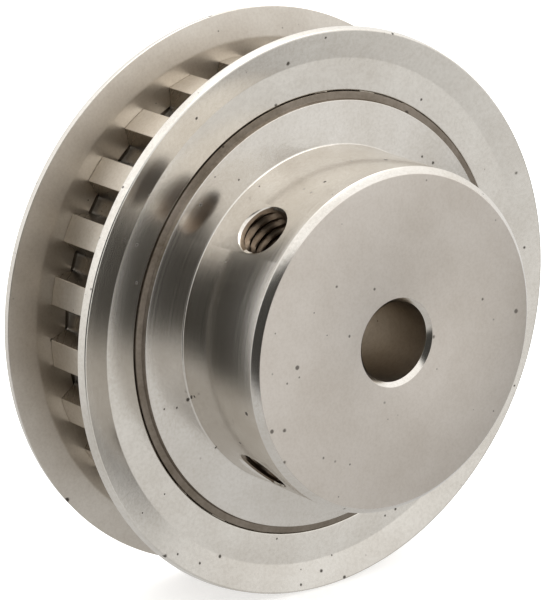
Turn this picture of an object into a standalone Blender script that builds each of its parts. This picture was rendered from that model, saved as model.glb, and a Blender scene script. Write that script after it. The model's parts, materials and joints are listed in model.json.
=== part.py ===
"""A timing belt pulley: a one-piece toothed body with a hub on one side, two pressed-on
sheet-metal flanges and two set screws.

The shaft axis is Y and the hub points to -Y. The origin is on the shaft axis, in the middle
plane of the belt. Lengths are metres.
"""

import math

import bmesh
import bpy

MM = 0.001

# Belt and teeth: the XL profile, 5.08 mm pitch.
TOOTH_COUNT = 24
BELT_PITCH = 5.08 * MM
PITCH_LINE_HEIGHT = 0.254 * MM  # the pitch line runs this far above the tooth tips
GROOVE_DEPTH = 1.65 * MM
GROOVE_BOTTOM_WIDTH = 1.32 * MM
GROOVE_ANGLE = math.radians(50)  # between its two flanks
GROOVE_ROOT_RADIUS = 0.41 * MM
TOOTH_TIP_RADIUS = 0.22 * MM
TOOTH_PHASE = math.radians(5.5)  # the first tooth's middle, from +X towards +Z
FACE_WIDTH = 8.4 * MM  # belt space between the two flanges

# Flanges: sheet rings with a flared rim.
FLANGE_STAND_OVER = 3.6 * MM  # how far a rim stands over the tooth tips, all round
FLANGE_THICKNESS = 0.8 * MM
FLANGE_FLARE_ANGLE = math.radians(12)
FLANGE_FLARE_WIDTH = 2.35 * MM  # the flared band, measured along the radius
FLANGE_EDGE_ROUND = 0.12 * MM

# Body.
BOSS_UNDER_ROOT = 0.05 * MM  # the flange seats are this much lower than the groove bottoms
BOSS_STAND_OUT = 0.45 * MM  # how far the side faces stand out from the flat of the flanges
STAKE_CHAMFER = 0.42 * MM  # slope of the staked edge that holds a flange on
HUB_DIAMETER = 27.2 * MM
HUB_LENGTH = 9.0 * MM  # from the side face to the hub's front face
HUB_EDGE_CHAMFER = 0.5 * MM
BORE_DIAMETER = 6.35 * MM
BORE_CHAMFER = 0.35 * MM

# Set screws: two, a right angle apart, with #8-32 threads.
SCREW_ANGLES = (math.radians(135), math.radians(225))  # from +X towards +Z
SCREW_THREAD_DIAMETER = 4.17 * MM
SCREW_LENGTH = 4.76 * MM
SCREW_SOCKET_WIDTH = 1.98 * MM  # across the flats of the hexagon
SCREW_SOCKET_DEPTH = 2.1 * MM
SCREW_CUP_DIAMETER = 1.9 * MM
SCREW_CUP_DEPTH = 0.55 * MM
SCREW_END_CHAMFER = 0.45 * MM
HOLE_MOUTH_CHAMFER = 0.2 * MM
HOLE_FROM_FACE = 4.3 * MM  # from the hub's front face to the middle of a set-screw hole

# Fits.
CLEARANCE = 0.3 * MM  # between pieces that touch each other
SEGMENTS = 72  # round a turned surface
SCREW_SEGMENTS = 24
CUT_PAST = 1.0 * MM  # how far a cutter runs past what it cuts

PITCH_RADIUS = TOOTH_COUNT * BELT_PITCH / (2 * math.pi)
TIP_RADIUS = PITCH_RADIUS - PITCH_LINE_HEIGHT
ROOT_RADIUS = TIP_RADIUS - GROOVE_DEPTH
BOSS_RADIUS = ROOT_RADIUS - BOSS_UNDER_ROOT
FLANGE_BORE_RADIUS = BOSS_RADIUS + CLEARANCE
FLANGE_FLAT_Y = FACE_WIDTH / 2 + FLANGE_THICKNESS  # outer surface of a flange's flat
TOOTH_END_Y = FACE_WIDTH / 2 - CLEARANCE
SIDE_FACE_Y = FLANGE_FLAT_Y + BOSS_STAND_OUT
HUB_FACE_Y = -SIDE_FACE_Y - HUB_LENGTH
HUB_RADIUS = HUB_DIAMETER / 2
BORE_RADIUS = BORE_DIAMETER / 2
HOLE_Y = HUB_FACE_Y + HOLE_FROM_FACE
SCREW_TIP_RADIUS = BORE_RADIUS + CLEARANCE  # where the point of a screw rests


def clear_scene():
    for leftover in list(bpy.data.objects):
        bpy.data.objects.remove(leftover, do_unlink=True)


def metal(name, colour, roughness):
    """A Principled metal with one colour."""
    material = bpy.data.materials.new(name)
    material.use_nodes = True
    shader = material.node_tree.nodes["Principled BSDF"]
    shader.inputs["Base Color"].default_value = (*colour, 1.0)
    shader.inputs["Metallic"].default_value = 1.0
    shader.inputs["Roughness"].default_value = roughness
    return material


def add_object(name, bm, material=None):
    """Makes an object of a bmesh, with its faces pointing outwards."""
    bmesh.ops.recalc_face_normals(bm, faces=bm.faces)
    mesh = bpy.data.meshes.new(name)
    bm.to_mesh(mesh)
    bm.free()
    mesh.shade_smooth()
    mesh.set_sharp_from_angle(angle=math.radians(30))
    item = bpy.data.objects.new(name, mesh)
    bpy.context.scene.collection.objects.link(item)
    if material:
        mesh.materials.append(material)
    return item


def turned_about_y(outline, segments):
    """A closed outline of (radius, y) points turned about the Y axis into a ring."""
    bm = bmesh.new()
    rings = []
    for step in range(segments):
        angle = 2 * math.pi * step / segments
        rings.append(
            [bm.verts.new((r * math.cos(angle), y, r * math.sin(angle))) for r, y in outline]
        )
    for step, ring in enumerate(rings):
        following = rings[(step + 1) % segments]
        for i in range(len(outline)):
            j = (i + 1) % len(outline)
            bm.faces.new((ring[i], ring[j], following[j], following[i]))
    return bm


def turned_about_z(outline, segments):
    """An open outline of (radius, z) points whose two ends lie on the Z axis."""
    bm = bmesh.new()
    bottom = bm.verts.new((0, 0, outline[0][1]))
    top = bm.verts.new((0, 0, outline[-1][1]))
    rings = []
    for r, z in outline[1:-1]:
        ring = []
        for step in range(segments):
            angle = 2 * math.pi * step / segments
            ring.append(bm.verts.new((r * math.cos(angle), r * math.sin(angle), z)))
        rings.append(ring)
    for step in range(segments):
        after = (step + 1) % segments
        bm.faces.new((bottom, rings[0][after], rings[0][step]))
        bm.faces.new((top, rings[-1][step], rings[-1][after]))
        for low, high in zip(rings, rings[1:]):
            bm.faces.new((low[step], low[after], high[after], high[step]))
    return bm


def arc(centre, radius, start, end, steps):
    """Points on an arc, both ends included."""
    angles = [start + (end - start) * i / steps for i in range(steps + 1)]
    return [(centre[0] + radius * math.cos(a), centre[1] + radius * math.sin(a)) for a in angles]


def groove_side():
    """The right half of a belt groove, as (across, height above the bottom), bottom to mouth.

    The flank leans out by half the groove angle. A fillet joins it to the bottom, and a round
    leads from it on to the tooth tip.
    """
    lean = GROOVE_ANGLE / 2
    half_bottom = GROOVE_BOTTOM_WIDTH / 2
    corner_to_fillet = GROOVE_ROOT_RADIUS * math.tan((math.pi / 2 - lean) / 2)
    fillet = arc(
        (half_bottom - corner_to_fillet, GROOVE_ROOT_RADIUS),
        GROOVE_ROOT_RADIUS,
        -math.pi / 2,
        -lean,
        3,
    )
    mouth = half_bottom + GROOVE_DEPTH * math.tan(lean)
    corner_to_round = TOOTH_TIP_RADIUS * math.tan((math.pi / 2 - lean) / 2)
    tip = arc(
        (mouth + corner_to_round, GROOVE_DEPTH - TOOTH_TIP_RADIUS),
        TOOTH_TIP_RADIUS,
        math.pi - lean,
        math.pi / 2 + math.radians(8),
        2,
    )
    above = (tip[-1][0] + CUT_PAST, GROOVE_DEPTH + CUT_PAST)
    return fillet + tip + [above]


def groove_cutters():
    """All belt grooves in one helper object, each a closed bar along Y."""
    side = groove_side()
    section = side + [(-across, height) for across, height in reversed(side)]
    half_length = TOOTH_END_Y + CUT_PAST
    bm = bmesh.new()
    for number in range(TOOTH_COUNT):
        angle = TOOTH_PHASE + (number + 0.5) * 2 * math.pi / TOOTH_COUNT
        out = (math.cos(angle), math.sin(angle))
        across_direction = (-out[1], out[0])
        ends = []
        for y in (-half_length, half_length):
            points = []
            for across, height in section:
                reach = ROOT_RADIUS + height
                x = out[0] * reach + across_direction[0] * across
                z = out[1] * reach + across_direction[1] * across
                points.append(bm.verts.new((x, y, z)))
            ends.append(points)
        near, far = ends
        bm.faces.new(near)
        bm.faces.new(list(reversed(far)))
        for i in range(len(section)):
            j = (i + 1) % len(section)
            bm.faces.new((near[i], near[j], far[j], far[i]))
    return add_helper("belt_groove_cutters", bm)


def add_helper(name, bm):
    helper = add_object(name, bm)
    helper.hide_render = True
    helper.display_type = "WIRE"
    return helper


def cut(item, cutter):
    """Takes the cutter's shape out of the item."""
    modifier = item.modifiers.new(cutter.name, "BOOLEAN")
    modifier.operation = "DIFFERENCE"
    modifier.solver = "EXACT"
    modifier.object = cutter


def aim_outwards(item, angle, radius):
    """Stands an object at a radius of the hub, its own Z axis pointing away from the bore."""
    item.rotation_euler = (0, math.pi / 2 - angle, 0)
    item.location = (radius * math.cos(angle), HOLE_Y, radius * math.sin(angle))


def screw_hole_cutter(name, angle):
    """A hole from inside the bore to past the hub, with a small chamfer at its mouth."""
    radius = SCREW_THREAD_DIAMETER / 2
    mouth = HUB_RADIUS - HOLE_MOUTH_CHAMFER
    outline = [
        (0, 0),
        (radius, 0),
        (radius, mouth),
        (radius + HOLE_MOUTH_CHAMFER + CUT_PAST, mouth + HOLE_MOUTH_CHAMFER + CUT_PAST),
        (0, mouth + HOLE_MOUTH_CHAMFER + CUT_PAST),
    ]
    helper = add_helper(name, turned_about_z(outline, SCREW_SEGMENTS))
    aim_outwards(helper, angle, 0)
    return helper


def make_pulley_body(material):
    """Toothed rim, flange seats and hub, turned from one bar and bored through."""
    seat_edge = BOSS_RADIUS - STAKE_CHAMFER
    outline = [
        (BORE_RADIUS + BORE_CHAMFER, HUB_FACE_Y),
        (HUB_RADIUS - HUB_EDGE_CHAMFER, HUB_FACE_Y),
        (HUB_RADIUS, HUB_FACE_Y + HUB_EDGE_CHAMFER),
        (HUB_RADIUS, -SIDE_FACE_Y),
        (seat_edge, -SIDE_FACE_Y),
        (BOSS_RADIUS, -SIDE_FACE_Y + STAKE_CHAMFER),
        (BOSS_RADIUS, -TOOTH_END_Y),
        (TIP_RADIUS, -TOOTH_END_Y),
        (TIP_RADIUS, TOOTH_END_Y),
        (BOSS_RADIUS, TOOTH_END_Y),
        (BOSS_RADIUS, SIDE_FACE_Y - STAKE_CHAMFER),
        (seat_edge, SIDE_FACE_Y),
        (BORE_RADIUS + BORE_CHAMFER, SIDE_FACE_Y),
        (BORE_RADIUS, SIDE_FACE_Y - BORE_CHAMFER),
        (BORE_RADIUS, HUB_FACE_Y + BORE_CHAMFER),
    ]
    body = add_object("pulley_body", turned_about_y(outline, SEGMENTS), material)
    cut(body, groove_cutters())
    for number, angle in enumerate(SCREW_ANGLES, 1):
        cut(body, screw_hole_cutter(f"screw_hole_cutter_{number}", angle))
    return body


def make_flange(name, side, material):
    """A sheet ring on one side of the teeth: flat at its hole, flared away from the belt.

    side is -1 for the hub's side and 1 for the other.
    """
    rim = TIP_RADIUS + FLANGE_STAND_OVER
    crease = rim - FLANGE_FLARE_WIDTH
    rise = FLANGE_FLARE_WIDTH * math.tan(FLANGE_FLARE_ANGLE)
    inner_y = FACE_WIDTH / 2
    lean_in = FLANGE_THICKNESS * math.sin(FLANGE_FLARE_ANGLE)
    lean_up = FLANGE_THICKNESS * math.cos(FLANGE_FLARE_ANGLE)
    crease_shift = FLANGE_THICKNESS * math.tan(FLANGE_FLARE_ANGLE / 2)
    round_in = FLANGE_EDGE_ROUND * math.cos(FLANGE_FLARE_ANGLE)
    round_up = FLANGE_EDGE_ROUND * math.sin(FLANGE_FLARE_ANGLE)
    outline = [
        (FLANGE_BORE_RADIUS, inner_y),
        (crease, inner_y),
        (rim, inner_y + rise),
        (rim - lean_in + round_up, inner_y + rise + lean_up - round_in),
        (rim - lean_in - round_in, inner_y + rise + lean_up - round_up),
        (crease - crease_shift, inner_y + FLANGE_THICKNESS),
        (FLANGE_BORE_RADIUS + FLANGE_EDGE_ROUND, inner_y + FLANGE_THICKNESS),
        (FLANGE_BORE_RADIUS, inner_y + FLANGE_THICKNESS - FLANGE_EDGE_ROUND),
    ]
    placed = [(r, side * y) for r, y in outline]
    return add_object(name, turned_about_y(placed, SEGMENTS), material)


def make_set_screw(number, angle, material):
    """A cup-point set screw with a hexagon socket, its point towards the bore.

    Its origin is at its point, on the axis that it screws along.
    """
    radius = SCREW_THREAD_DIAMETER / 2 - CLEARANCE
    outline = [
        (0, SCREW_CUP_DEPTH),
        (SCREW_CUP_DIAMETER / 2, 0),
        (radius - SCREW_END_CHAMFER, 0),
        (radius, SCREW_END_CHAMFER),
        (radius, SCREW_LENGTH - SCREW_END_CHAMFER / 2),
        (radius - SCREW_END_CHAMFER / 2, SCREW_LENGTH),
        (0, SCREW_LENGTH),
    ]
    screw = add_object(f"set_screw_{number}", turned_about_z(outline, SCREW_SEGMENTS), material)
    corner = SCREW_SOCKET_WIDTH / 2 / math.cos(math.pi / 6)
    floor = SCREW_LENGTH - SCREW_SOCKET_DEPTH
    socket_outline = [
        (0, floor),
        (corner, floor),
        (corner, SCREW_LENGTH + CUT_PAST),
        (0, SCREW_LENGTH + CUT_PAST),
    ]
    socket = add_helper(f"hexagon_cutter_{number}", turned_about_z(socket_outline, 6))
    aim_outwards(screw, angle, SCREW_TIP_RADIUS)
    aim_outwards(socket, angle, SCREW_TIP_RADIUS)
    cut(screw, socket)
    return screw


def main():
    clear_scene()
    body_metal = metal("machined_body_metal", (0.50, 0.47, 0.43), 0.30)
    flange_metal = metal("plated_flange_sheet", (0.54, 0.51, 0.47), 0.28)
    screw_metal = metal("dark_screw_steel", (0.10, 0.085, 0.075), 0.45)
    make_pulley_body(body_metal)
    make_flange("front_flange", -1, flange_metal)
    make_flange("rear_flange", 1, flange_metal)
    for number, angle in enumerate(SCREW_ANGLES, 1):
        make_set_screw(number, angle, screw_metal)


main()
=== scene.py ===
import json
import math
import bmesh
import bpy
from mathutils import Matrix, Vector

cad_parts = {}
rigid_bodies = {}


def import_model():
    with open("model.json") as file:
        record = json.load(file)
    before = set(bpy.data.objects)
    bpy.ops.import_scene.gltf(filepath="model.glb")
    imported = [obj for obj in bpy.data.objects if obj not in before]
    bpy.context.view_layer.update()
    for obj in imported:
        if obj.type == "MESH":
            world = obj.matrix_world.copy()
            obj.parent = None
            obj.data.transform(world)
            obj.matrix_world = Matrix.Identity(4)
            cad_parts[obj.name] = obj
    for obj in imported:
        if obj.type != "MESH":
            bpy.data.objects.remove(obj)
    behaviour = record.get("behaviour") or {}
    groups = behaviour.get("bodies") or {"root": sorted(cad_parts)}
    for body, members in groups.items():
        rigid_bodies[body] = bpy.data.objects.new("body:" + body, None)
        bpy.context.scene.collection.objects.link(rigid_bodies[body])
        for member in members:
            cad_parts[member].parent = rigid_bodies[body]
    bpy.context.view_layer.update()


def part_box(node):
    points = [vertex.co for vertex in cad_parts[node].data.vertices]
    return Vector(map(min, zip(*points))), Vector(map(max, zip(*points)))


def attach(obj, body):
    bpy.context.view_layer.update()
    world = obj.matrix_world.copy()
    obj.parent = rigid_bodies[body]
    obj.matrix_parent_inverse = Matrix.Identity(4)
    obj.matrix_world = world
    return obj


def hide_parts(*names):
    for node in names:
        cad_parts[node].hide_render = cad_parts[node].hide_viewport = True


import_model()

mm = 0.001
weldDistance = 1e-7


def nodeSizes(name):
    low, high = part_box(name)
    return {"low": low, "high": high, "reach": (high.x - low.x) / 2}


bodySize = nodeSizes("pulley_body")
frontSize = nodeSizes("front_flange")
rearSize = nodeSizes("rear_flange")


def linkMesh(name, mesh):
    item = bpy.data.objects.new(name, mesh)
    bpy.context.scene.collection.objects.link(item)
    return item


def finishMesh(name, bm, sharpAt=32):
    # sharpAt: degrees between faces from which an edge stays hard
    bmesh.ops.remove_doubles(bm, verts=bm.verts, dist=weldDistance)
    bmesh.ops.recalc_face_normals(bm, faces=bm.faces)
    mesh = bpy.data.meshes.new(name)
    bm.to_mesh(mesh)
    bm.free()
    mesh.shade_smooth()
    mesh.set_sharp_from_angle(angle=math.radians(sharpAt))
    return linkMesh(name, mesh)


def rounded(points, radii, steps):
    # swaps each corner of an outline for an arc of its own radius
    made = []
    count = len(points)
    for i, (corner, radius) in enumerate(zip(points, radii)):
        here = Vector(corner)
        if radius <= 0:
            made.append(here)
            continue
        before = (Vector(points[i - 1]) - here).normalized()
        after = (Vector(points[(i + 1) % count]) - here).normalized()
        half = before.angle(after) / 2
        back = radius / math.tan(half)
        middle = here + (before + after).normalized() * (radius / math.sin(half))
        first = here + before * back - middle
        last = here + after * back - middle
        for k in range(steps + 1):
            way = first.lerp(last, k / steps).normalized()
            made.append(middle + way * radius)
    return [(p.x, p.y) for p in made]


def turned(outline, steps):
    # closed outline of (radius, y) turned about Y
    bm = bmesh.new()
    rings = []
    for k in range(steps):
        a = 2 * math.pi * k / steps
        rings.append([bm.verts.new((r * math.cos(a), y, r * math.sin(a))) for r, y in outline])
    for k in range(steps):
        here, after = rings[k], rings[(k + 1) % steps]
        for i in range(len(outline)):
            j = (i + 1) % len(outline)
            bm.faces.new((here[i], here[j], after[j], after[i]))
    return bm


def threadRadius(z, turn, low, high, pitch):
    # thread with straight flanks and small flats at crest and root
    flat = 0.15
    t = (z / pitch - turn / (2 * math.pi)) % 1.0
    ramp = abs(2 * t - 1)
    return low + (high - low) * min(max(ramp * (1 + 2 * flat) - flat, 0.0), 1.0)


def threadRod(sections, steps, low, high, pitch):
    # sections: (z, radius limit) from one end to the other; both ends are left open
    bm = bmesh.new()
    rings = []
    for z, limit in sections:
        ring = []
        for k in range(steps):
            a = 2 * math.pi * k / steps
            r = min(threadRadius(z, a, low, high, pitch), limit)
            ring.append(bm.verts.new((r * math.cos(a), r * math.sin(a), z)))
        rings.append(ring)
    for lowRing, highRing in zip(rings, rings[1:]):
        for k in range(steps):
            n = (k + 1) % steps
            bm.faces.new((lowRing[k], lowRing[n], highRing[n], highRing[k]))
    return bm, rings


def treeWith(name, inputs):
    tree = bpy.data.node_groups.new(name, "GeometryNodeTree")
    tree.interface.new_socket("Geometry", in_out="OUTPUT", socket_type="NodeSocketGeometry")
    tree.interface.new_socket("Geometry", in_out="INPUT", socket_type="NodeSocketGeometry")
    for label, kind in inputs:
        tree.interface.new_socket(label, in_out="INPUT", socket_type=kind)
    return tree


def addNode(tree, kind, settings=None, links=None):
    # one node; settings are properties or input values, links are (input, output socket)
    node = tree.nodes.new(kind)
    for key, value in (settings or {}).items():
        if isinstance(key, str) and hasattr(node, key) and key not in node.inputs:
            setattr(node, key, value)
        else:
            node.inputs[key].default_value = value
    for key, source in (links or {}).items():
        tree.links.new(source, node.inputs[key])
    return node


def setInputs(modifier, values):
    for item in modifier.node_group.interface.items_tree:
        if item.item_type == "SOCKET" and item.in_out == "INPUT" and item.name in values:
            modifier[item.identifier] = values[item.name]


def applied(item):
    # the evaluated result as a plain mesh object of the same name
    graph = bpy.context.evaluated_depsgraph_get()
    mesh = bpy.data.meshes.new_from_object(item.evaluated_get(graph))
    name = item.name
    bpy.data.objects.remove(item)
    mesh.name = name
    return linkMesh(name, mesh)


def linear(hexColour):
    values = [int(hexColour[i:i + 2], 16) / 255 for i in (1, 3, 5)]
    return tuple(v / 12.92 if v <= 0.04045 else ((v + 0.055) / 1.055) ** 2.4 for v in values) + (1.0,)


wear = {
    "cloudSize": 6.0 * mm,  # patches where it was handled
    "cloudRange": (0.35, 0.75),
    "speckleRange": (0.40, 0.75),
    "speckle": 0.3,  # how much the grain takes on the stain's colour
    "pitColour": "#3a332b",
    "pitShrink": (2.4, 0.6),  # pits shrink by the second number up to the sum of both
    "pitEdge": (1.7, 1.1),  # soft outer and full inner reach of a pit, to its size
    "pitRoughness": 0.4,
    "grainRoughness": 0.06,
    "ringRange": (0.3, 0.7),
    "bumpHeight": 0.01 * mm,
}


def metalFinish(name, look):
    material = bpy.data.materials.new(name)
    material.use_nodes = True
    tree = material.node_tree
    shader = tree.nodes["Principled BSDF"]
    shader.inputs["Metallic"].default_value = 1.0
    shader.inputs["Anisotropic"].default_value = look.get("anisotropy", 0.0)
    place = addNode(tree, "ShaderNodeTexCoord")
    parts = addNode(tree, "ShaderNodeSeparateXYZ", {}, {0: place.outputs["Object"]})
    flat = addNode(tree, "ShaderNodeCombineXYZ", {}, {"X": parts.outputs["X"], "Z": parts.outputs["Z"]})
    radius = addNode(tree, "ShaderNodeVectorMath", {"operation": "LENGTH"}, {0: flat.outputs[0]})
    # turning marks: rings on a face, hoops on a side, drawn coarser than the real feed
    run = addNode(tree, "ShaderNodeMath", {"operation": "ADD"},
                  {0: radius.outputs["Value"], 1: parts.outputs["Y"]})
    ringPlace = addNode(tree, "ShaderNodeCombineXYZ", {}, {"X": run.outputs[0]})
    rings = addNode(tree, "ShaderNodeTexNoise",
                    {"noise_dimensions": "3D", "Scale": 1 / (look["feed"] * mm), "Detail": 3.0},
                    {"Vector": ringPlace.outputs[0]})
    # fine grain left by tumbling
    grain = addNode(tree, "ShaderNodeTexNoise",
                    {"Scale": 1 / (look["grain"] * mm), "Detail": 4.0, "Roughness": 0.65},
                    {"Vector": place.outputs["Object"]})
    # slow changes of tone where it was handled
    cloud = addNode(tree, "ShaderNodeTexNoise",
                    {"Scale": 1 / wear["cloudSize"], "Detail": 3.0, "Roughness": 0.6},
                    {"Vector": place.outputs["Object"]})
    low, high = wear["cloudRange"]
    cloudRamp = addNode(tree, "ShaderNodeMapRange",
                        {"From Min": low, "From Max": high, "To Min": 0.0, "To Max": look["stain"]},
                        {"Value": cloud.outputs[0]})
    low, high = wear["speckleRange"]
    speckle = addNode(tree, "ShaderNodeMapRange",
                      {"From Min": low, "From Max": high, "To Min": 0.0, "To Max": wear["speckle"]},
                      {"Value": grain.outputs[0]})
    blend = addNode(tree, "ShaderNodeMath", {"operation": "ADD", "use_clamp": True},
                    {0: cloudRamp.outputs[0], 1: speckle.outputs[0]})
    toned = addNode(tree, "ShaderNodeMix", {"data_type": "RGBA"}, {"Factor": blend.outputs[0]})
    toned.inputs[6].default_value = linear(look["colour"])
    toned.inputs[7].default_value = linear(look["stainColour"])
    # small dark pits, one to each cell of the pattern
    pits = addNode(tree, "ShaderNodeTexVoronoi",
                   {"feature": "F1", "Scale": 1 / (look["pitSpacing"] * mm), "Randomness": 1.0},
                   {"Vector": place.outputs["Object"]})
    # each cell shrinks its own pit by a different amount, and the grain frays its edge
    chance = addNode(tree, "ShaderNodeSeparateColor", {}, {0: pits.outputs["Color"]})
    spread, least = wear["pitShrink"]
    shrink = addNode(tree, "ShaderNodeMath", {"operation": "MULTIPLY_ADD", 1: spread, 2: least},
                     {0: chance.outputs[0]})
    frayed = addNode(tree, "ShaderNodeMath", {"operation": "MULTIPLY_ADD", 1: look["pitSize"]},
                     {0: grain.outputs[0], 2: pits.outputs["Distance"]})
    pitReach = addNode(tree, "ShaderNodeMath", {"operation": "MULTIPLY"},
                       {0: frayed.outputs[0], 1: shrink.outputs[0]})
    soft, full = wear["pitEdge"]
    pitShape = addNode(tree, "ShaderNodeMapRange",
                       {"From Min": look["pitSize"] * soft, "From Max": look["pitSize"] * full,
                        "To Min": 0.0, "To Max": look["pitDepth"]},
                       {"Value": pitReach.outputs[0]})
    pitted = addNode(tree, "ShaderNodeMix", {"data_type": "RGBA"}, {"Factor": pitShape.outputs[0]})
    tree.links.new(toned.outputs[2], pitted.inputs[6])
    pitted.inputs[7].default_value = linear(wear["pitColour"])
    tree.links.new(pitted.outputs[2], shader.inputs["Base Color"])
    # roughness moves with the grain and the rings
    low, high = wear["ringRange"]
    ringRough = addNode(tree, "ShaderNodeMapRange",
                        {"From Min": low, "From Max": high,
                         "To Min": look["roughness"] - look["roughSpread"],
                         "To Max": look["roughness"] + look["roughSpread"]},
                        {"Value": rings.outputs[0]})
    rough = addNode(tree, "ShaderNodeMath", {"operation": "MULTIPLY_ADD", 1: wear["grainRoughness"]},
                    {0: grain.outputs[0], 2: ringRough.outputs[0]})
    roughPit = addNode(tree, "ShaderNodeMath", {"operation": "MULTIPLY_ADD", 1: wear["pitRoughness"]},
                       {0: pitShape.outputs[0], 2: rough.outputs[0]})
    tree.links.new(roughPit.outputs[0], shader.inputs["Roughness"])
    ringBump = addNode(tree, "ShaderNodeBump",
                       {"Strength": look["ringStrength"], "Distance": wear["bumpHeight"]},
                       {"Height": rings.outputs[0]})
    grainBump = addNode(tree, "ShaderNodeBump",
                        {"Strength": look["grainStrength"], "Distance": wear["bumpHeight"]},
                        {"Height": grain.outputs[0], "Normal": ringBump.outputs[0]})
    tree.links.new(grainBump.outputs[0], shader.inputs["Normal"])
    if look.get("anisotropy"):
        # the brushed direction runs round the shaft axis
        back = addNode(tree, "ShaderNodeMath", {"operation": "MULTIPLY", 1: -1.0},
                       {0: parts.outputs["X"]})
        around = addNode(tree, "ShaderNodeCombineXYZ", {},
                         {"X": parts.outputs["Z"], "Z": back.outputs[0]})
        tangent = addNode(tree, "ShaderNodeVectorMath", {"operation": "NORMALIZE"},
                          {0: around.outputs[0]})
        tree.links.new(tangent.outputs[0], shader.inputs["Tangent"])
    return material


finishes = {
    # turned aluminium, tumbled: warm light grey, soft reflections, fine grain
    "satinTurnedFace": {"colour": "#ded7cf", "stainColour": "#c2b8ac", "stain": 0.4, "roughness": 0.33,
                        "roughSpread": 0.02, "feed": 0.25, "grain": 0.22, "pitSpacing": 1.2,
                        "pitSize": 0.085, "pitDepth": 0.7, "ringStrength": 0.05,
                        "grainStrength": 0.25, "anisotropy": 0.2},
    # the same metal fresh from a sharp tool: mirrors its surroundings, with fine hoops
    "brightTurnedSide": {"colour": "#e0dcd6", "stainColour": "#beb6aa", "stain": 0.45, "roughness": 0.15,
                         "roughSpread": 0.03, "feed": 0.20, "grain": 0.25, "pitSpacing": 1.2,
                         "pitSize": 0.085, "pitDepth": 0.85, "ringStrength": 0.10,
                         "grainStrength": 0.15, "anisotropy": 0.35},
    # hobbed flanks and roots: base colour darkened as painted shade in the grooves between the teeth, a
    # little brown
    "hobbedToothPaintedShade": {"colour": "#a79f94", "stainColour": "#6b6050", "stain": 0.6, "roughness": 0.26,
                    "roughSpread": 0.04, "feed": 0.4, "grain": 0.3, "pitSpacing": 3.0,
                    "pitSize": 0.05, "pitDepth": 0.8, "ringStrength": 0.05,
                    "grainStrength": 0.25},
    # tapped threads: a darker colour than the turned faces, with a heavy brown stain
    "tappedThread": {"colour": "#8d8173", "stainColour": "#5c4a38", "stain": 0.8, "roughness": 0.30,
                     "roughSpread": 0.05, "feed": 0.3, "grain": 0.25, "pitSpacing": 2.0,
                     "pitSize": 0.05, "pitDepth": 0.7, "ringStrength": 0.05,
                     "grainStrength": 0.3},
    # bored and reamed: fine rings, a little darker than the faces
    "boredHole": {"colour": "#cbc3b8", "stainColour": "#9b8f80", "stain": 0.5, "roughness": 0.32,
                  "roughSpread": 0.06, "feed": 0.15, "grain": 0.3, "pitSpacing": 2.5,
                  "pitSize": 0.05, "pitDepth": 0.7, "ringStrength": 0.25,
                  "grainStrength": 0.2, "anisotropy": 0.3},
    # rolled steel sheet, bright zinc plate: smooth, a trace of warmth
    "zincPlatedSheet": {"colour": "#e6e2db", "stainColour": "#c3bbb0", "stain": 0.4, "roughness": 0.18,
                        "roughSpread": 0.02, "feed": 0.35, "grain": 0.3, "pitSpacing": 1.1,
                        "pitSize": 0.09, "pitDepth": 0.85, "ringStrength": 0.06,
                        "grainStrength": 0.22, "anisotropy": 0.15},
    # the belt's side of the sheet: satin, so the teeth only smudge in it; its colour is also a little
    # darker than the outside, as painted shade between the flanges
    "satinSheetInsidePaintedShade": {"colour": "#d9d3ca", "stainColour": "#b5ab9f", "stain": 0.45, "roughness": 0.36,
                         "roughSpread": 0.03, "feed": 0.35, "grain": 0.22, "pitSpacing": 1.6,
                         "pitSize": 0.07, "pitDepth": 0.85, "ringStrength": 0.06,
                         "grainStrength": 0.35},
    # tooth lands: turned, then tumbled, so they stay bright from every side
    "brightToothLand": {"colour": "#e4ddd3", "stainColour": "#b7a991", "stain": 0.4, "roughness": 0.34,
                        "roughSpread": 0.06, "feed": 0.15, "grain": 0.25, "pitSpacing": 2.0,
                        "pitSize": 0.07, "pitDepth": 0.8, "ringStrength": 0.3,
                        "grainStrength": 0.3},
    # groove struck by the staking tool: torn metal with dirt in it
    "stakedGroove": {"colour": "#9b9186", "stainColour": "#5f5444", "stain": 0.8, "roughness": 0.42,
                     "roughSpread": 0.06, "feed": 0.2, "grain": 0.3, "pitSpacing": 1.2,
                     "pitSize": 0.10, "pitDepth": 0.7, "ringStrength": 0.3,
                     "grainStrength": 0.5},
    # alloy steel, black oxide, rust starting on the crests
    "oxideScrewSteel": {"colour": "#4a423b", "stainColour": "#6d4a2f", "stain": 0.9, "roughness": 0.42,
                        "roughSpread": 0.05, "feed": 0.3, "grain": 0.2, "pitSpacing": 1.5,
                        "pitSize": 0.05, "pitDepth": 0.6, "ringStrength": 0.1,
                        "grainStrength": 0.35},
}
metals = {name: metalFinish(name, look) for name, look in finishes.items()}
print("materials made:", len(metals))


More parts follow.
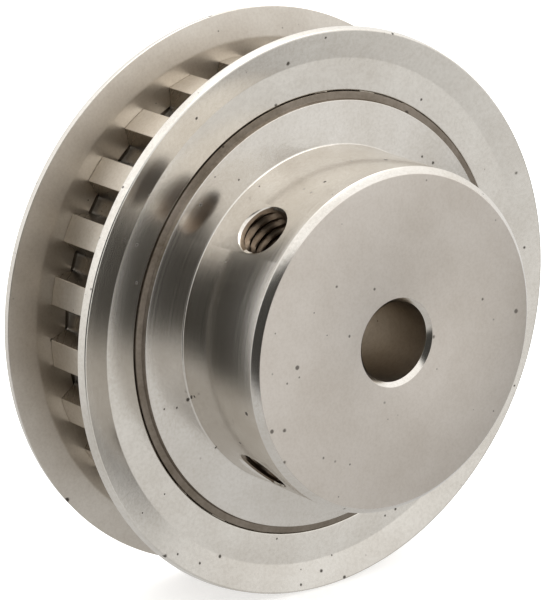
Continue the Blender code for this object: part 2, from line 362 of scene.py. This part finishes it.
pulley = {
    "teeth": 24,
    "toothPhase": math.radians(5.5),
    "tipRadius": 19.15 * mm,  # over the tooth lands
    "grooveDepth": 1.65 * mm,
    "grooveBottom": 1.32 * mm,
    "grooveLean": math.radians(25),  # each flank leans out by this
    "rootFillet": 0.41 * mm,
    "tipRound": 0.20 * mm,
    "arcSteps": 5,  # along a fillet or a tip round
    "landSteps": 3,
    "beltSpace": -2 * frontSize["high"].y,  # between the flanges
    "toothEndGap": 0.02 * mm,  # between a tooth and a flange
    "toothEndRound": 0.05 * mm,
    "seatRadius": 17.45 * mm,  # what a flange is pressed on
    "stakedLip": 17.70 * mm,  # the lip that staking spreads out against a flange
    "stakeGroove": 0.62 * mm,  # width of the mark that the staking tool leaves
    "stakeDepth": 0.34 * mm,
    "stakeLean": 0.10 * mm,  # how far the mark's inner wall leans
    "stakeRound": 0.03 * mm,
    "lipTop": 0.08 * mm,  # the lip stands this much over the sheet
    "lipRound": 0.04 * mm,
    "lipBottom": 0.20 * mm,  # under the sheet's face, where the lip starts to narrow
    "lipFoot": 0.40 * mm,  # under the sheet's face, where it meets the seat
    "sideFace": bodySize["high"].y,
    "hubFace": bodySize["low"].y,
    "hubRadius": 13.6 * mm,
    "hubChamfer": 0.5 * mm,
    "hubFillet": 0.12 * mm,  # where the hub meets the side face
    "boreRadius": 3.175 * mm,
    "boreChamfer": 0.35 * mm,
    "boreRound": 0.03 * mm,
    "edgeRound": 0.07 * mm,  # what deburring leaves on a turned edge
    "edgeSteps": 3,
    "hubSide": (0.6 * mm, 8 * mm),  # from the hub's face, past the chamfer up to the fillet
    "facetSlack": 0.02 * mm,  # chord of a facet against the true radius
    "joinDistance": 0.002 * mm,  # seams between the repeated pitches
    "sharpAt": 32,  # degrees between faces that stay a hard edge
}


def grooveOutline():
    # (angle from the middle of a groove, radius) from there to the middle of the next land
    p = pulley
    half, lean, fillet, tip = p["grooveBottom"] / 2, p["grooveLean"], p["rootFillet"], p["tipRound"]
    root = p["tipRadius"] - p["grooveDepth"]
    mouth = half + p["grooveDepth"] * math.tan(lean)
    setback = math.tan((math.pi / 2 - lean) / 2)
    side = [(0.0, 0.0)]
    arc = p["arcSteps"]
    for k in range(arc + 1):
        a = -math.pi / 2 + (math.pi / 2 - lean) * k / arc
        side.append((half - fillet * setback + fillet * math.cos(a), fillet + fillet * math.sin(a)))
    for k in range(arc + 1):
        a = math.pi - lean + (lean - math.pi / 2) * k / arc
        side.append((mouth + tip * setback + tip * math.cos(a), p["grooveDepth"] - tip + tip * math.sin(a)))
    outline = [(math.atan2(x, root + h), min(math.hypot(x, root + h), p["tipRadius"])) for x, h in side]
    last = outline[-1][0]
    landMiddle = math.pi / p["teeth"]
    for k in range(1, p["landSteps"] + 1):
        outline.append((last + (landMiddle - last) * k / p["landSteps"], p["tipRadius"]))
    return outline


setScrew = {
    "angles": (math.radians(135), math.radians(225)),
    "fromFace": 4.3 * mm,  # hub face to the middle of a hole
    "holeRadius": 2.1 * mm,
    "holeCrest": 1.80 * mm,
    "holeReach": 3 * mm,  # nothing of a hole lies farther along the shaft from its middle
    "holeStart": 2.4 * mm,  # inside the bore, so the cutter breaks through
    "mouthChamfer": 0.2 * mm,
    "mouthSlack": 0.02 * mm,  # keeps the chamfer clear of the thread
    "cutterFlare": 1.2 * mm,  # how far the cutter widens past the hub's surface
    "pitch": 0.794 * mm,  # 32 threads to the inch
    "radius": 1.76 * mm,
    "root": 1.46 * mm,
    "length": 4.76 * mm,
    "pointChamfer": 0.4 * mm,
    "topChamfer": 0.2 * mm,
    "tipFromAxis": 3.475 * mm,
    "socketWidth": 1.98 * mm,
    "socketDepth": 2.1 * mm,
    "drillPoint": 0.35 * mm,
    "cupRadius": 0.95 * mm,
    "cupDepth": 0.55 * mm,
    "steps": 48,
    "stepsToPitch": 10,
    "holeStepsToPitch": 8,
    "sharpAt": 40,
}


def screwPlace(angle, radius):
    # local Z of a screw or hole runs outwards from the shaft
    hubY = pulley["hubFace"] + setScrew["fromFace"]
    place = Matrix.Translation((radius * math.cos(angle), hubY, radius * math.sin(angle)))
    return place @ Matrix.Rotation(math.pi / 2 - angle, 4, "Y")


def tappedHole(number, angle):
    # cutter for one threaded hole, with a chamfered mouth
    s = setScrew
    mouth = pulley["hubRadius"] - s["mouthChamfer"]
    start, step = s["holeStart"], s["pitch"] / s["holeStepsToPitch"]
    count = int((mouth - start) / step)
    sections = [(start + step * k, s["holeRadius"]) for k in range(count + 1)]
    bm, rings = threadRod(sections, s["steps"], s["holeCrest"], s["holeRadius"], s["pitch"])
    top = []
    for grow, z in ((0.0, mouth), (s["cutterFlare"], mouth + s["cutterFlare"])):
        ring = []
        for k in range(s["steps"]):
            a = 2 * math.pi * k / s["steps"]
            r = s["holeRadius"] + grow + s["mouthSlack"]
            ring.append(bm.verts.new((r * math.cos(a), r * math.sin(a), z + s["mouthSlack"] / 2)))
        top.append(ring)
    chain = [rings[-1]] + top
    for lowRing, highRing in zip(chain, chain[1:]):
        for k in range(s["steps"]):
            n = (k + 1) % s["steps"]
            bm.faces.new((lowRing[k], lowRing[n], highRing[n], highRing[k]))
    bm.faces.new(rings[0])
    bm.faces.new(top[-1])
    bmesh.ops.transform(bm, matrix=screwPlace(angle, 0), verts=bm.verts)
    return finishMesh(f"tappedHole{number}", bm)


def bodySection():
    # the whole turned profile as (radius, y), from the bore out over the rim and back
    p = pulley
    r, fine = p["edgeRound"], p["boreRound"]
    end = p["beltSpace"] / 2 - p["toothEndGap"]
    grooveEdge = p["stakedLip"] - p["stakeGroove"]
    face, side = p["hubFace"], p["sideFace"]
    flangeTop = p["beltSpace"] / 2 + flange["sheet"]

    def stakedEdge(sign):
        # from the side face outwards, down to the seat of the flange
        return [
            ((grooveEdge, sign * side), r),
            ((grooveEdge + p["stakeLean"], sign * (side - p["stakeDepth"])), p["stakeRound"]),
            ((p["stakedLip"], sign * (flangeTop + p["lipTop"])), p["lipRound"]),
            ((p["stakedLip"], sign * (flangeTop - p["lipBottom"])), 0),
            ((p["seatRadius"], sign * (flangeTop - p["lipFoot"])), 0),
            ((p["seatRadius"], sign * end), 0),
        ]

    points = [
        ((p["boreRadius"] + p["boreChamfer"], face), fine),
        ((p["hubRadius"] - p["hubChamfer"], face), r),
        ((p["hubRadius"], face + p["hubChamfer"]), r),
        ((p["hubRadius"], -side), p["hubFillet"]),
    ]
    points += stakedEdge(-1)
    points += [((p["tipRadius"], -end), p["toothEndRound"]), ((p["tipRadius"], end), p["toothEndRound"])]
    points += reversed(stakedEdge(1))
    points += [
        ((p["boreRadius"] + p["boreChamfer"], side), fine),
        ((p["boreRadius"], side - p["boreChamfer"]), fine),
        ((p["boreRadius"], face + p["boreChamfer"]), fine),
    ]
    return rounded([q for q, _ in points], [w for _, w in points], p["edgeSteps"])


def bodySector():
    # one tooth pitch of the body, from land middle to land middle round a groove at +X
    p = pulley
    halfGroove = grooveOutline()
    outline = [(-a, r) for a, r in reversed(halfGroove[1:])] + halfGroove
    section = bodySection()
    bm = bmesh.new()
    rings = []
    for angle, reach in outline:
        ring = []
        for r, y in section:
            toothed = r > (p["stakedLip"] + p["tipRadius"]) / 2
            out = reach - (p["tipRadius"] - r) if toothed else r
            ring.append(bm.verts.new((out * math.cos(angle), y, out * math.sin(angle))))
        rings.append(ring)
    for here, after in zip(rings, rings[1:]):
        for i in range(len(section)):
            j = (i + 1) % len(section)
            bm.faces.new((here[j], here[i], after[i], after[j]))
    mesh = bpy.data.meshes.new("pulleyBody")
    bm.to_mesh(mesh)
    bm.free()
    return linkMesh("pulleyBody", mesh)


def toothRimTree():
    # repeats one pitch of the body round the shaft axis and joins the copies at their seams
    tree = treeWith("toothRim", [("Teeth", "NodeSocketInt"), ("Phase", "NodeSocketFloat"),
                                 ("Join Distance", "NodeSocketFloat"),
                                 ("Finish", "NodeSocketMaterial")])
    given = addNode(tree, "NodeGroupInput")
    spots = addNode(tree, "GeometryNodePoints", {}, {"Count": given.outputs["Teeth"]})
    number = addNode(tree, "GeometryNodeInputIndex")
    share = addNode(tree, "ShaderNodeMath", {"operation": "DIVIDE", 0: 2 * math.pi},
                    {1: given.outputs["Teeth"]})
    middle = addNode(tree, "ShaderNodeMath", {"operation": "ADD", 1: 0.5}, {0: number.outputs[0]})
    turn = addNode(tree, "ShaderNodeMath", {"operation": "MULTIPLY_ADD"},
                   {0: middle.outputs[0], 1: share.outputs[0], 2: given.outputs["Phase"]})
    back = addNode(tree, "ShaderNodeMath", {"operation": "MULTIPLY", 1: -1.0}, {0: turn.outputs[0]})
    aim = addNode(tree, "ShaderNodeCombineXYZ", {}, {"Y": back.outputs[0]})
    copies = addNode(tree, "GeometryNodeInstanceOnPoints", {},
                     {"Points": spots.outputs[0], "Instance": given.outputs["Geometry"],
                      "Rotation": aim.outputs[0]})
    whole = addNode(tree, "GeometryNodeRealizeInstances", {}, {0: copies.outputs[0]})
    joined = addNode(tree, "GeometryNodeMergeByDistance", {},
                     {"Geometry": whole.outputs[0], "Distance": given.outputs["Join Distance"]})
    painted = addNode(tree, "GeometryNodeSetMaterial", {},
                      {"Geometry": joined.outputs[0], "Material": given.outputs["Finish"]})
    result = addNode(tree, "NodeGroupOutput")
    tree.links.new(painted.outputs[0], result.inputs[0])
    return tree


def bodyFinish(middle):
    # which finish a face of the body has, from where its middle lies
    p = pulley
    slack = p["facetSlack"]
    low, high = p["hubSide"]
    out = math.hypot(middle.x, middle.z)
    fromFace = middle.y - p["hubFace"]
    if out < p["boreRadius"] + slack:
        return "boredHole"
    if low < fromFace < high and out < p["hubRadius"] - setScrew["mouthChamfer"] / 2:
        inHole = abs(fromFace - setScrew["fromFace"]) < setScrew["holeReach"]
        return "tappedThread" if inHole else "brightTurnedSide"
    if fromFace < slack:
        return "satinTurnedFace"
    if abs(middle.y) < p["beltSpace"] / 2:
        # flanks and roots take the darker finish, which paints shade into the grooves
        return "brightToothLand" if out > p["tipRadius"] - slack else "hobbedToothPaintedShade"
    if out > p["stakedLip"] - p["stakeGroove"]:
        return "stakedGroove"
    return "brightTurnedSide"


def makeBody():
    sector = bodySector()
    work = sector.modifiers.new("toothRim", "NODES")
    work.node_group = toothRimTree()
    setInputs(work, {"Teeth": pulley["teeth"], "Phase": pulley["toothPhase"],
                     "Join Distance": pulley["joinDistance"], "Finish": metals["brightTurnedSide"]})
    body = applied(sector)
    whole = bmesh.new()
    whole.from_mesh(body.data)
    bmesh.ops.recalc_face_normals(whole, faces=whole.faces)
    whole.to_mesh(body.data)
    whole.free()
    holes = [tappedHole(i, a) for i, a in enumerate(setScrew["angles"], 1)]
    for hole in holes:
        drilled = body.modifiers.new(hole.name, "BOOLEAN")
        drilled.operation = "DIFFERENCE"
        drilled.solver = "MANIFOLD"
        drilled.object = hole
    body = applied(body)
    for hole in holes:
        bpy.data.objects.remove(hole)
    mesh = body.data
    names = ["brightTurnedSide", "satinTurnedFace", "hobbedToothPaintedShade", "brightToothLand", "stakedGroove",
             "tappedThread", "boredHole"]
    mesh.materials.clear()
    for name in names:
        mesh.materials.append(metals[name])
    for face in mesh.polygons:
        face.material_index = names.index(bodyFinish(face.center))
    mesh.shade_smooth()
    mesh.set_sharp_from_angle(angle=math.radians(pulley["sharpAt"]))
    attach(body, "pulley")
    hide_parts("pulley_body")
    print("body:", len(mesh.polygons), "faces")


flange = {
    "rim": frontSize["reach"],
    "hole": 17.76 * mm,
    "holeRound": 0.04 * mm,
    "flareWidth": 2.35 * mm,
    "flareAngle": math.radians(12),
    "sheet": 0.8 * mm,
    "bendRadius": 0.5 * mm,
    "edgeRound": 0.14 * mm,
    "innerEdgeShare": 0.6,  # the rim's inner edge is rounded less than its outer one
    "arcSteps": 6,
    "steps": 288,
}


def makeFlange(name, node, side):
    f = flange
    inner = pulley["beltSpace"] / 2
    crease = f["rim"] - f["flareWidth"]
    rise = f["flareWidth"] * math.tan(f["flareAngle"])
    leanIn, leanUp = f["sheet"] * math.sin(f["flareAngle"]), f["sheet"] * math.cos(f["flareAngle"])
    shift = f["sheet"] * math.tan(f["flareAngle"] / 2)
    points = [
        ((f["hole"], inner), f["holeRound"]),
        ((crease, inner), f["bendRadius"] + f["sheet"]),
        ((f["rim"], inner + rise), f["edgeRound"] * f["innerEdgeShare"]),
        ((f["rim"] - leanIn, inner + rise + leanUp), f["edgeRound"]),
        ((crease - shift, inner + f["sheet"]), f["bendRadius"]),
        ((f["hole"], inner + f["sheet"]), f["edgeRound"]),
    ]
    outline = rounded([(r, side * y) for (r, y), _ in points], [w for _, w in points], f["arcSteps"])
    item = finishMesh(name, turned(outline, f["steps"]))
    item.data.materials.append(metals["zincPlatedSheet"])
    # the belt's side gets the darker colour, painted shade between the flanges
    item.data.materials.append(metals["satinSheetInsidePaintedShade"])
    for face in item.data.polygons:
        face.material_index = int(face.normal.y * side < -0.5)  # 1 on the belt's side
    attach(item, "pulley")
    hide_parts(node)
    print(name + ":", len(item.data.polygons), "faces")


def makeSetScrew(number):
    s = setScrew
    angle = s["angles"][number - 1]
    count = int(s["length"] / s["pitch"] * s["stepsToPitch"])
    sections = []
    for k in range(count + 1):
        z = s["length"] * k / count
        limit = min(s["radius"], s["radius"] - s["pointChamfer"] + z,
                    s["radius"] - s["topChamfer"] + (s["length"] - z))
        sections.append((z, limit))
    bm, rings = threadRod(sections, s["steps"], s["root"], s["radius"], s["pitch"])
    steps = s["steps"]

    def ringAt(radius, z):
        turns = [2 * math.pi * k / steps for k in range(steps)]
        return [bm.verts.new((radius(a) * math.cos(a), radius(a) * math.sin(a), z)) for a in turns]

    def hexagon(a):
        return s["socketWidth"] / 2 / math.cos((a + math.pi / 6) % (math.pi / 3) - math.pi / 6)

    socketTop = ringAt(hexagon, s["length"])
    socketFloor = ringAt(hexagon, s["length"] - s["socketDepth"])
    drillPoint = bm.verts.new((0, 0, s["length"] - s["socketDepth"] - s["drillPoint"]))
    cupEdge = ringAt(lambda a: s["cupRadius"], 0)
    cupBottom = bm.verts.new((0, 0, s["cupDepth"]))
    for lowRing, highRing in ((cupEdge, rings[0]), (rings[-1], socketTop), (socketTop, socketFloor)):
        for k in range(steps):
            n = (k + 1) % steps
            bm.faces.new((lowRing[k], lowRing[n], highRing[n], highRing[k]))
    for k in range(steps):
        n = (k + 1) % steps
        bm.faces.new((socketFloor[k], socketFloor[n], drillPoint))
        bm.faces.new((cupEdge[n], cupEdge[k], cupBottom))
    bmesh.ops.transform(bm, matrix=screwPlace(angle, s["tipFromAxis"]), verts=bm.verts)
    item = finishMesh(f"setScrew{number}", bm, s["sharpAt"])
    item.data.materials.append(metals["oxideScrewSteel"])
    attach(item, f"screw_{number}")
    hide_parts(f"set_screw_{number}")


makeBody()
makeFlange("frontFlange", "front_flange", -1)
makeFlange("rearFlange", "rear_flange", 1)
for number in (1, 2):
    makeSetScrew(number)
print("set screws made")


studio = {
    "floorSize": 1.2,  # metres from the middle to each side
    "floorDrop": 0.05 * mm,
    "floorColour": "#f4f3f1",
    "floorRoughness": 0.9,
    "floorGlow": 0.55,
    "backdrop": (0.95, 0.95, 0.95),
    # radiance of the tent low down, and overhead
    "tentLow": (0.66, 0.655, 0.645),
    "tentHigh": (1.32, 1.315, 1.30),
    "tentFrom": -0.55,  # height of the direction where the gradient starts
    "tentTo": 0.60,
    "gapColour": (0.06, 0.059, 0.055),
    # dark openings in the tent: direction, how flat, and the cosines of edge and core
    "gaps": [
        {"towards": (-0.637, -0.762, 0.06), "squeeze": 1.35, "edge": 0.70, "core": 0.86},
        {"towards": (0.86, -0.40, -0.32), "squeeze": 1.0, "edge": 0.945, "core": 0.985},
    ],
    "panelSpot": (0.10, 0.05, 0.55),
    "panelSize": (0.5, 0.5),
    "panelWatts": 1.2,
    "cameraAzimuth": -37.4,
    "cameraElevation": 16.5,
    "cameraDistance": 12.22,  # in rim radii, as the two shifts below
    "cameraRight": -0.176,
    "cameraUp": 0.0535,
    "sensor": 36,
    "lens": 213.9,
    "clip": (0.01, 10),
}


def makeFloor():
    low = min(frontSize["low"].z, rearSize["low"].z) - studio["floorDrop"]
    reach = studio["floorSize"]
    bm = bmesh.new()
    corners = [bm.verts.new((x * reach, y * reach, low)) for x, y in ((-1, -1), (1, -1), (1, 1), (-1, 1))]
    bm.faces.new(corners)
    floor = finishMesh("studioFloor", bm)
    paint = bpy.data.materials.new("palePaperFloor")
    paint.use_nodes = True
    shader = paint.node_tree.nodes["Principled BSDF"]
    shader.inputs["Base Color"].default_value = linear(studio["floorColour"])
    shader.inputs["Roughness"].default_value = studio["floorRoughness"]
    shader.inputs["Emission Color"].default_value = (1, 1, 1, 1)
    shader.inputs["Emission Strength"].default_value = studio["floorGlow"]
    floor.data.materials.append(paint)
    floor.visible_glossy = False  # the metal mirrors the tent alone


def softPanel(name, spot, aimAt, size, power):
    light = bpy.data.lights.new(name, "AREA")
    light.shape = "RECTANGLE"
    light.size, light.size_y = size
    light.energy = power
    item = bpy.data.objects.new(name, light)
    bpy.context.scene.collection.objects.link(item)
    item.location = spot
    item.rotation_euler = (Vector(aimAt) - Vector(spot)).to_track_quat("-Z", "Y").to_euler()


def makeWorld():
    # a white tent, brighter overhead, with dark gaps on the camera's side and low on the right
    world = bpy.data.worlds.new("studioTent")
    bpy.context.scene.world = world
    world.use_nodes = True
    tree = world.node_tree
    sky = tree.nodes["Background"]
    place = addNode(tree, "ShaderNodeTexCoord")
    parts = addNode(tree, "ShaderNodeSeparateXYZ", {}, {0: place.outputs["Generated"]})
    height = addNode(tree, "ShaderNodeMapRange",
                     {"From Min": studio["tentFrom"], "From Max": studio["tentTo"]},
                     {"Value": parts.outputs["Z"]})
    tent = addNode(tree, "ShaderNodeMix", {"data_type": "RGBA"}, {"Factor": height.outputs[0]})
    tent.inputs[6].default_value = (*studio["tentLow"], 1)
    tent.inputs[7].default_value = (*studio["tentHigh"], 1)
    for gap in studio["gaps"]:
        # squeezing the height makes a gap wider than it is tall
        squeezed = addNode(tree, "ShaderNodeVectorMath",
                           {"operation": "MULTIPLY", 1: (1, 1, gap["squeeze"])},
                           {0: place.outputs["Generated"]})
        unit = addNode(tree, "ShaderNodeVectorMath", {"operation": "NORMALIZE"}, {0: squeezed.outputs[0]})
        x, y, z = gap["towards"]
        middle = Vector((x, y, z * gap["squeeze"])).normalized()
        dot = addNode(tree, "ShaderNodeVectorMath", {"operation": "DOT_PRODUCT", 1: middle},
                      {0: unit.outputs[0]})
        depth = addNode(tree, "ShaderNodeMapRange",
                        {"interpolation_type": "SMOOTHSTEP", "From Min": gap["edge"],
                         "From Max": gap["core"], "To Min": 0.0, "To Max": 1.0},
                        {"Value": dot.outputs["Value"]})
        opened = addNode(tree, "ShaderNodeMix", {"data_type": "RGBA"}, {"Factor": depth.outputs[0]})
        tree.links.new(tent.outputs[2], opened.inputs[6])
        opened.inputs[7].default_value = (*studio["gapColour"], 1)
        tent = opened
    # what the camera sees straight is the pale backdrop
    ray = addNode(tree, "ShaderNodeLightPath")
    shown = addNode(tree, "ShaderNodeMix", {"data_type": "RGBA"}, {"Factor": ray.outputs["Is Camera Ray"]})
    tree.links.new(tent.outputs[2], shown.inputs[6])
    shown.inputs[7].default_value = (*studio["backdrop"], 1)
    tree.links.new(shown.outputs[2], sky.inputs["Color"])
    sky.inputs["Strength"].default_value = 1.0


def makeCamera():
    rim = flange["rim"]
    azimuth = math.radians(studio["cameraAzimuth"])
    elevation = math.radians(studio["cameraElevation"])
    back = Vector((math.sin(azimuth) * math.cos(elevation),
                   -math.cos(azimuth) * math.cos(elevation), math.sin(elevation)))
    right = Vector((math.cos(azimuth), math.sin(azimuth), 0))
    up = back.cross(right)
    frontRim = Vector((0, frontSize["low"].y, 0))
    target = frontRim + right * (studio["cameraRight"] * rim) + up * (studio["cameraUp"] * rim)
    data = bpy.data.cameras.new("studioCamera")
    data.sensor_width = studio["sensor"]
    data.lens = studio["lens"]
    camera = bpy.data.objects.new("studioCamera", data)
    bpy.context.scene.collection.objects.link(camera)
    camera.location = target + back * (studio["cameraDistance"] * rim)
    camera.rotation_euler = back.to_track_quat("Z", "Y").to_euler()
    data.clip_start, data.clip_end = studio["clip"]
    bpy.context.scene.camera = camera


makeFloor()
makeWorld()
softPanel("overheadPanel", studio["panelSpot"], (0, 0, 0), studio["panelSize"], studio["panelWatts"])
makeCamera()
bpy.context.scene.view_settings.view_transform = "Standard"
print("stage made")
